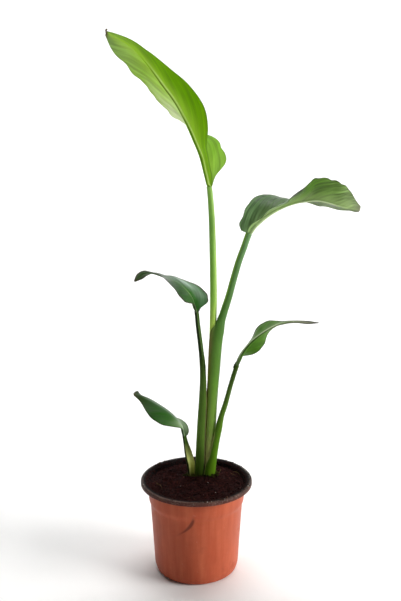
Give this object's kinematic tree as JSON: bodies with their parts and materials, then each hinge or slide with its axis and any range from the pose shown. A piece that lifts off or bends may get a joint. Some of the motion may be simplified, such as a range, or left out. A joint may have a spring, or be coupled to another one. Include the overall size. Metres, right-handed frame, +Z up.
{
  "type": "potted bird of paradise",
  "caption": "Young bird of paradise plant with broad folded leaves on long sheathed stalks, in soil in a round tapered nursery pot.",
  "frame": {"origin": "middle of the pot's underside, on the surface that it stands on", "axes": "+Z up, +X to the right and -Y towards the viewer, as seen from the front"},
  "size_m": [0.2887, 0.1324, 0.6137],
  "materials": {
    "pot": "thin moulded plastic, terracotta outside, black inside and over the rim",
    "soil": "dark moist peat with fibres and a few white grains",
    "crown": "pale ringed root stock",
    "stalk_1": "smooth satin leaf stalk with fine lengthwise lines",
    "stalk_2": "smooth satin leaf stalk with fine lengthwise lines",
    "stalk_3": "smooth satin leaf stalk with fine lengthwise lines",
    "stalk_4": "smooth satin leaf stalk with fine lengthwise lines",
    "stalk_5": "smooth satin leaf stalk with fine lengthwise lines",
    "blade_1": "satin leaf with a pale midrib and fine slanting veins",
    "blade_2": "satin leaf with a pale midrib and fine slanting veins",
    "blade_3": "satin leaf with a pale midrib and fine slanting veins",
    "blade_4": "satin leaf with a pale midrib and fine slanting veins",
    "blade_5": "satin leaf with a pale midrib and fine slanting veins"
  },
  "bodies": {
    "root": {"pot": "pot", "soil": "soil", "crown": "crown", "leaf_1_stalk": "stalk_1", "leaf_1_blade": "blade_1", "leaf_2_stalk": "stalk_2", "leaf_2_blade": "blade_2", "leaf_3_stalk": "stalk_3", "leaf_3_blade": "blade_3", "leaf_4_stalk": "stalk_4", "leaf_4_blade": "blade_4", "leaf_5_stalk": "stalk_5", "leaf_5_blade": "blade_5"}
  },
  "joints": []
}
